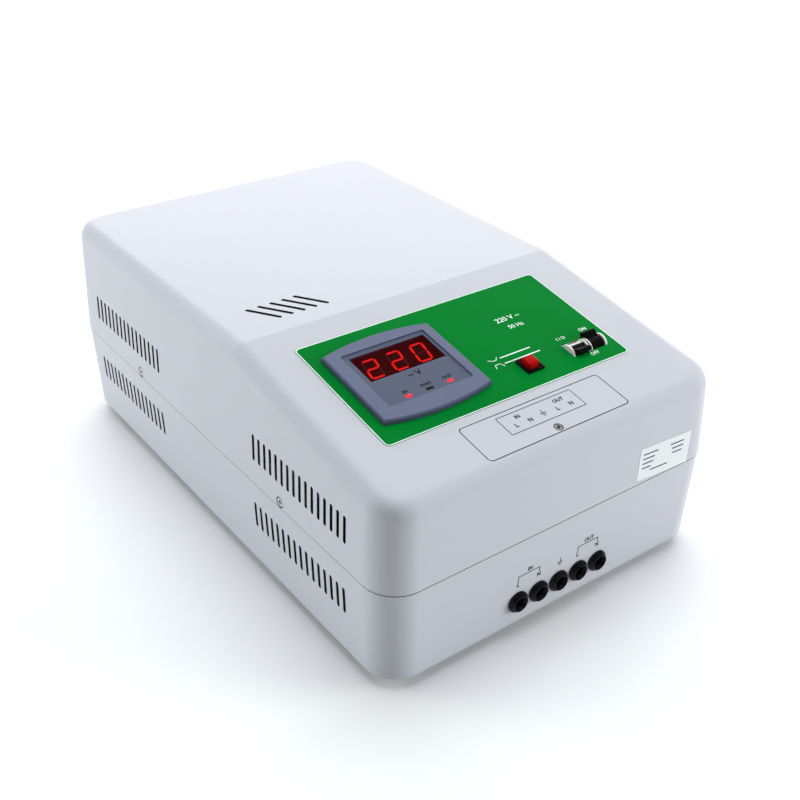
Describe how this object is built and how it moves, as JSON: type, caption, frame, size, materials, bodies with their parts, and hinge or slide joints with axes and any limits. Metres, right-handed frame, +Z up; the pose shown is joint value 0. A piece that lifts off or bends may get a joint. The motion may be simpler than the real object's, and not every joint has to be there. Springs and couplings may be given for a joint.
{
  "type": "voltage stabilizer",
  "caption": "Bench voltage stabilizer with a sloped panel, a red voltmeter, a push button, two toggle breakers and front cable entries.",
  "frame": {"origin": "on the floor under the middle of the housing", "axes": "+Z up, -Y towards the front with the cable entries, +X to the right seen from the front"},
  "size_m": [0.32, 0.4967, 0.192],
  "materials": {
    "shell_paint": "light grey powder coat, satin",
    "foot_rubber": "moulded rubber",
    "screw_zinc": "zinc plated",
    "plate_zinc": "zinc plated sheet",
    "overlay_print": "green printed film",
    "bezel_plastic": "fine-grained blue-grey ABS",
    "window_red": "dark red filter, glossy",
    "module_black": "matt black",
    "board_laminate": "solder mask on laminate",
    "lamp_red": "tinted clear lens",
    "switch_black": "polished black",
    "cap_red": "glossy red",
    "breaker_white": "satin white moulding",
    "lever_black": "satin black moulding",
    "core_steel": "wound silicon steel strip",
    "winding_copper": "enamelled copper wire",
    "pad_rubber": "sheet rubber",
    "standoff_brass": "turned brass",
    "relay_blue": "blue casing",
    "capacitor_sleeve": "shrink sleeve",
    "plug_cream": "natural nylon",
    "block_black": "moulded black",
    "terminal_brass": "plated brass",
    "grommet_black": "moulded rubber"
  },
  "bodies": {
    "housing": {"base_shell": "shell_paint", "top_cover": "shell_paint", "rubber_feet": "foot_rubber", "foot_screws": "screw_zinc", "foot_nuts": "screw_zinc", "seam_screws": "screw_zinc", "terminal_cover": "shell_paint", "terminal_cover_screw": "screw_zinc", "panel_overlay": "overlay_print", "display_bezel": "bezel_plastic", "display_window": "window_red", "display_module": "module_black", "display_board": "board_laminate", "display_board_screws": "screw_zinc", "display_clips": "plate_zinc", "status_lamps": "lamp_red", "button_switch": "switch_black", "mains_breaker": "breaker_white", "bypass_breaker": "breaker_white", "breaker_rail": "plate_zinc", "breaker_bracket": "plate_zinc", "breaker_rail_screws": "screw_zinc", "toroid_core": "core_steel", "toroid_winding": "winding_copper", "toroid_lower_pad": "pad_rubber", "toroid_upper_pad": "pad_rubber", "toroid_clamp_disc": "plate_zinc", "toroid_bolt": "screw_zinc", "toroid_nut": "screw_zinc", "control_board": "board_laminate", "board_standoffs": "standoff_brass", "board_screws": "screw_zinc", "relays": "relay_blue", "board_capacitors": "capacitor_sleeve", "board_plugs": "plug_cream", "terminal_block": "block_black", "terminal_screws": "terminal_brass", "terminal_bracket": "plate_zinc", "bracket_screws": "screw_zinc", "grommet_input_line": "grommet_black", "grommet_input_neutral": "grommet_black", "grommet_earth": "grommet_black", "grommet_output_line": "grommet_black", "grommet_output_neutral": "grommet_black"},
    "mains_lever": {"mains_lever": "lever_black"},
    "bypass_lever": {"bypass_lever": "lever_black"},
    "button_cap": {"button_cap": "cap_red"}
  },
  "joints": [
    {"name": "mains_lever_turn", "type": "hinge", "parent": "housing", "child": "mains_lever", "pos_m": [0.09351, -0.16905, 0.16745], "axis": [1, 0, 0], "range_deg": [0, 90]},
    {"name": "bypass_lever_turn", "type": "hinge", "parent": "housing", "child": "bypass_lever", "pos_m": [0.07551, -0.16905, 0.16745], "axis": [1, 0, 0], "range_deg": [-90, 0]},
    {"name": "button_press", "type": "slide", "parent": "housing", "child": "button_cap", "axis": [0, 0.1736, -0.9848], "range_m": [0, 0.003], "stiffness_N_per_m": 400}
  ]
}
